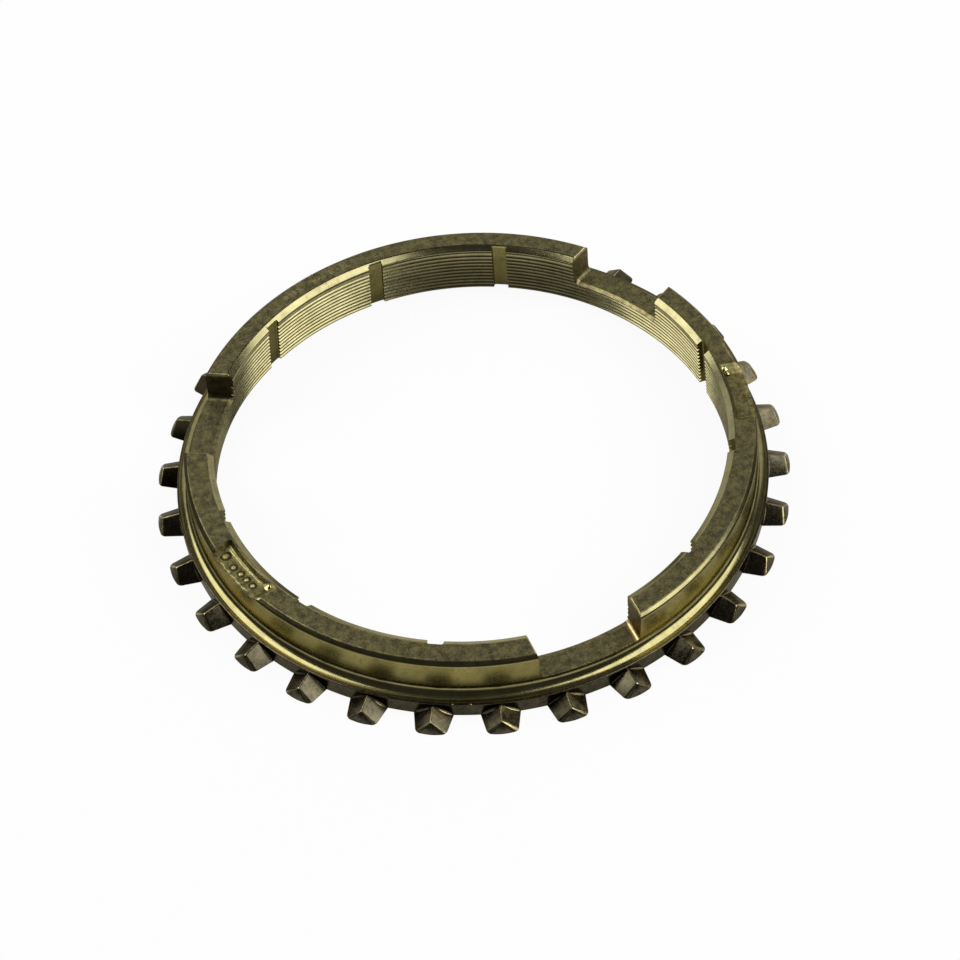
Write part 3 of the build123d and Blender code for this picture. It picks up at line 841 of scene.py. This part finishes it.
def white_floor():
    """A broad white sheet under the ring.

    It is white to the eye. The metal sees on it a painted shadow of the ring, and dimness past a painted
    pool of light.
    """
    size = 3000.0
    points = np.array([[-1, -1, 0], [1, -1, 0], [1, 1, 0], [-1, 1, 0]]) * size
    points[:, 2] = -0.02
    material = bpy.data.materials.new("white_paper")
    material.use_nodes = True
    tree = material.node_tree
    tree.nodes.clear()
    place = add(tree, "ShaderNodeTexCoord").outputs["Object"]
    levels = []
    for middle, nearer, farther, inside, outside in (PAINTED_SHADOW_INSIDE, PAINTED_SHADOW_OUTSIDE, PAINTED_POOL):
        away = add(tree, "ShaderNodeVectorMath", {"operation": "DISTANCE", 1: middle}, in_0=place)
        ends = {"From Min": nearer, "From Max": farther, "To Min": inside, "To Max": outside}
        levels.append(add(tree, "ShaderNodeMapRange", ends, Value=away.outputs["Value"]).outputs[0])
    shaded = add(tree, "ShaderNodeMath", {"operation": "MAXIMUM"}, in_0=levels[0], in_1=levels[1])
    pooled = add(tree, "ShaderNodeMath", {"operation": "MINIMUM"}, in_0=shaded.outputs[0], in_1=levels[2])
    path = add(tree, "ShaderNodeLightPath")
    # Glossy rays see the painted shadow and pool of light; camera rays see plain white
    bright = add(tree, "ShaderNodeMath", {"operation": "MAXIMUM"}, in_0=path.outputs["Is Camera Ray"],
                 in_1=pooled.outputs[0])
    seen = add(tree, "ShaderNodeMath", {"operation": "MAXIMUM"}, in_0=path.outputs["Is Camera Ray"],
               in_1=path.outputs["Is Glossy Ray"])
    seen = add(tree, "ShaderNodeMath", {"operation": "MAXIMUM"}, in_0=seen.outputs[0],
               in_1=path.outputs["Is Transmission Ray"])
    share = add(tree, "ShaderNodeMath", {"operation": "MULTIPLY", 1: 0.92}, in_0=seen.outputs[0])
    paper = add(tree, "ShaderNodeBsdfDiffuse", {"Color": srgb("#f4f4f4")})
    glow = add(tree, "ShaderNodeEmission", {"Color": (1, 1, 1, 1)}, Strength=bright.outputs[0])
    mixed = add(tree, "ShaderNodeMixShader", None, in_0=share.outputs[0], in_1=paper.outputs[0],
                in_2=glow.outputs[0])
    output = add(tree, "ShaderNodeOutputMaterial")
    tree.links.new(mixed.outputs[0], output.inputs["Surface"])
    return mesh_piece("floor", points, [[0, 1, 2, 3]], [material])


white_floor()


# Camera and lamps are placed in the photograph's own frame, then turned about the ring's axis
VIEW_TURN = math.radians(-19.85)


def turned_about_axis(vector):
    """The vector turned about Z from the photograph's frame into the ring's."""
    c, s = math.cos(VIEW_TURN), math.sin(VIEW_TURN)
    x, y, z = vector
    return np.array([c * x - s * y, s * x + c * y, z])


def spun(vector, axis, angle):
    """The vector turned about an axis by an angle."""
    return (vector * math.cos(angle) + np.cross(axis, vector) * math.sin(angle)
            + axis * np.dot(axis, vector) * (1 - math.cos(angle)))


def placing(axes, spot):
    """The matrix that puts an object at a spot in metres, with its X, Y and Z along the axes."""
    matrix = Matrix.Identity(4)
    for column, vector in enumerate((*axes, spot)):
        for row in range(3):
            matrix[row][column] = vector[row]
    return matrix


# The picture's side and the lens's focal length, both in pixels, and the distance of the lamps in metres
PICTURE_SIDE = 960
FOCAL_LENGTH = 2101.17
SENSOR_WIDTH = 36.0
LAMP_DISTANCE = 0.9


def place_camera():
    """A long lens looking down on the ring, turned slightly off its centre."""
    distance, height_angle = 356.67, 0.867327
    pan, tilt, roll = -0.0034276, -0.0054857, 0.0740907
    spot = np.array([0.0, -distance * math.cos(height_angle), distance * math.sin(height_angle)])
    forward = -spot / np.linalg.norm(spot)
    right = np.array([1.0, 0.0, 0.0])
    up = np.cross(right, forward)
    forward, right = spun(forward, up, pan), spun(right, up, pan)
    forward, up = spun(forward, right, tilt), spun(up, right, tilt)
    right, up = spun(right, forward, roll), spun(up, forward, roll)
    spot, right, up, forward = (turned_about_axis(v) for v in (spot, right, up, forward))
    data = bpy.data.cameras.new("camera")
    data.sensor_width = SENSOR_WIDTH
    data.lens = FOCAL_LENGTH / PICTURE_SIDE * SENSOR_WIDTH
    data.shift_x, data.shift_y = -0.5 / PICTURE_SIDE, 0.5 / PICTURE_SIDE
    data.clip_start = 0.01
    data.clip_end = 20.0
    camera = bpy.data.objects.new("camera", data)
    camera.matrix_world = placing((right, up, -forward), spot * MM)
    bpy.context.scene.collection.objects.link(camera)
    bpy.context.scene.camera = camera


def softbox(name, azimuth, elevation, width, height, radiance):
    """A rectangular softbox facing the ring, with its size as seen from one metre away."""
    az, el = math.radians(azimuth), math.radians(elevation)
    out = np.array([math.cos(el) * math.cos(az), math.cos(el) * math.sin(az), math.sin(el)])
    across = np.array([-math.sin(az), math.cos(az), 0.0])
    upward = np.cross(out, across)
    data = bpy.data.lights.new(name, "AREA")
    data.shape = "RECTANGLE"
    data.size = width * LAMP_DISTANCE
    data.size_y = height * LAMP_DISTANCE
    data.energy = radiance * math.pi * data.size * data.size_y
    lamp = bpy.data.objects.new(name, data)
    across, upward, out = (turned_about_axis(axis) for axis in (across, upward, out))
    lamp.matrix_world = placing((across, upward, out), out * LAMP_DISTANCE)
    bpy.context.scene.collection.objects.link(lamp)


place_camera()
softbox("right_softbox", azimuth=-13, elevation=46, width=0.76, height=1.00, radiance=3.3)
softbox("left_softbox", azimuth=168, elevation=46, width=0.64, height=0.90, radiance=3.2)
softbox("back_wall", azimuth=87, elevation=17, width=3.04, height=1.05, radiance=0.80)

world = bpy.data.worlds.new("studio")
world.use_nodes = True
world.node_tree.nodes["Background"].inputs["Color"].default_value = (0.06, 0.06, 0.06, 1.0)
bpy.context.scene.world = world
bpy.context.scene.view_settings.view_transform = "Standard"
